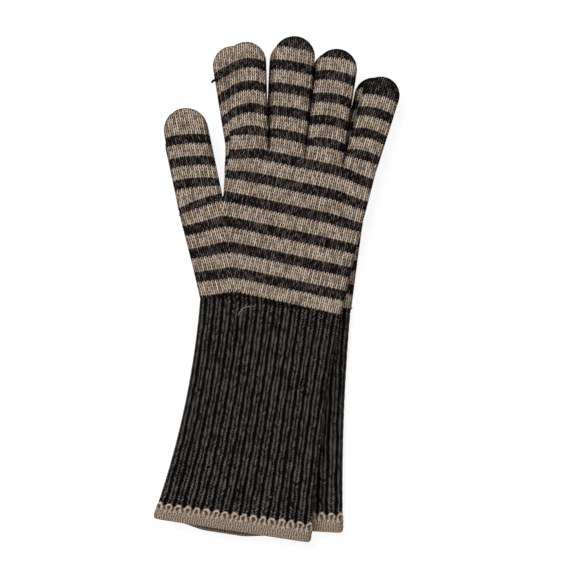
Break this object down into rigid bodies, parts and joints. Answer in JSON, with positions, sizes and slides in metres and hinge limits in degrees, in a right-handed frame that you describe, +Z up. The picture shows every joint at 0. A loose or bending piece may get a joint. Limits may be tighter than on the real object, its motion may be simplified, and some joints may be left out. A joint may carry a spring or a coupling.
{
  "type": "long knitted gloves",
  "caption": "Pair of long knitted gloves lying flat one on the other, with striped hands, separate fingers and thumbs, and long ribbed cuffs with a contrasting hem.",
  "frame": {"origin": "bottom centre of the bounding box of the pair, on the surface that the pair lies on", "axes": "+Y towards the fingertips, +X to the right with the thumbs on the left, +Z up, away from the surface"},
  "size_m": [0.1602, 0.33, 0.0164],
  "materials": {
    "striped_knit": "plain stocking-stitch wool, taupe with charcoal rings",
    "taupe_yarn": "taupe wool yarn",
    "charcoal_rib": "charcoal marl wool, one by one rib",
    "taupe_hem": "taupe wool rib edge"
  },
  "bodies": {
    "lower_palm": {"lower_palm": "striped_knit", "lower_finger_joins": "taupe_yarn"},
    "lower_thumb": {"lower_thumb": "striped_knit"},
    "lower_index": {"lower_index_finger": "striped_knit"},
    "lower_middle": {"lower_middle_finger": "striped_knit"},
    "lower_ring": {"lower_ring_finger": "striped_knit"},
    "lower_little": {"lower_little_finger": "striped_knit"},
    "lower_cuff": {"lower_cuff": "charcoal_rib", "lower_hem": "taupe_hem"},
    "upper_palm": {"upper_palm": "striped_knit", "upper_finger_joins": "taupe_yarn"},
    "upper_thumb": {"upper_thumb": "striped_knit"},
    "upper_index": {"upper_index_finger": "striped_knit"},
    "upper_middle": {"upper_middle_finger": "striped_knit"},
    "upper_ring": {"upper_ring_finger": "striped_knit"},
    "upper_little": {"upper_little_finger": "striped_knit"},
    "upper_cuff": {"upper_cuff": "charcoal_rib", "upper_hem": "taupe_hem"}
  },
  "joints": [
    {"name": "upper_glove_lift", "type": "slide", "parent": "lower_palm", "child": "upper_palm", "axis": [0, 0, 1], "range_m": [0, 0.12]},
    {"name": "upper_thumb_fold", "type": "hinge", "parent": "upper_palm", "child": "upper_thumb", "pos_m": [-0.04899, 0.05477, 0.0164], "axis": [0.9167, 0.3996, 0], "range_deg": [0, 85]},
    {"name": "upper_index_fold", "type": "hinge", "parent": "upper_palm", "child": "upper_index", "pos_m": [-0.01763, 0.09403, 0.0164], "axis": [0.9774, -0.2113, 0], "range_deg": [0, 85]},
    {"name": "upper_middle_fold", "type": "hinge", "parent": "upper_palm", "child": "upper_middle", "pos_m": [0.00675, 0.08876, 0.0164], "axis": [0.9774, -0.2113, 0], "range_deg": [0, 85]},
    {"name": "upper_ring_fold", "type": "hinge", "parent": "upper_palm", "child": "upper_ring", "pos_m": [0.03085, 0.08354, 0.0164], "axis": [0.9774, -0.2113, 0], "range_deg": [0, 85]},
    {"name": "upper_little_fold", "type": "hinge", "parent": "upper_palm", "child": "upper_little", "pos_m": [0.05416, 0.07851, 0.0164], "axis": [0.9774, -0.2113, 0], "range_deg": [0, 85]},
    {"name": "upper_cuff_fold", "type": "hinge", "parent": "upper_palm", "child": "upper_cuff", "pos_m": [-0.00402, -0.01123, 0.0164], "axis": [-0.992, 0.1259, 0], "range_deg": [0, 90]},
    {"name": "lower_thumb_spread", "type": "hinge", "parent": "lower_palm", "child": "lower_thumb", "pos_m": [-0.06187, 0.04212, 0.008], "axis": [0, 0, 1], "range_deg": [0, 20]},
    {"name": "lower_index_spread", "type": "hinge", "parent": "lower_palm", "child": "lower_index", "pos_m": [-0.03332, 0.09314, 0.008], "axis": [0, 0, 1], "range_deg": [0, 12]},
    {"name": "lower_middle_spread", "type": "hinge", "parent": "lower_palm", "child": "lower_middle", "pos_m": [-0.0076, 0.09012, 0.008], "axis": [0, 0, 1], "range_deg": [0, 6]},
    {"name": "lower_ring_spread", "type": "hinge", "parent": "lower_palm", "child": "lower_ring", "pos_m": [0.04037, 0.08448, 0.008], "axis": [0, 0, -1], "range_deg": [0, 3]},
    {"name": "lower_little_spread", "type": "hinge", "parent": "lower_palm", "child": "lower_little", "pos_m": [0.06262, 0.08187, 0.008], "axis": [0, 0, -1], "range_deg": [0, 14]},
    {"name": "lower_cuff_swing", "type": "hinge", "parent": "lower_palm", "child": "lower_cuff", "pos_m": [0.04884, -0.01317, 0.008], "axis": [0, 0, 1], "range_deg": [0, 12]}
  ]
}
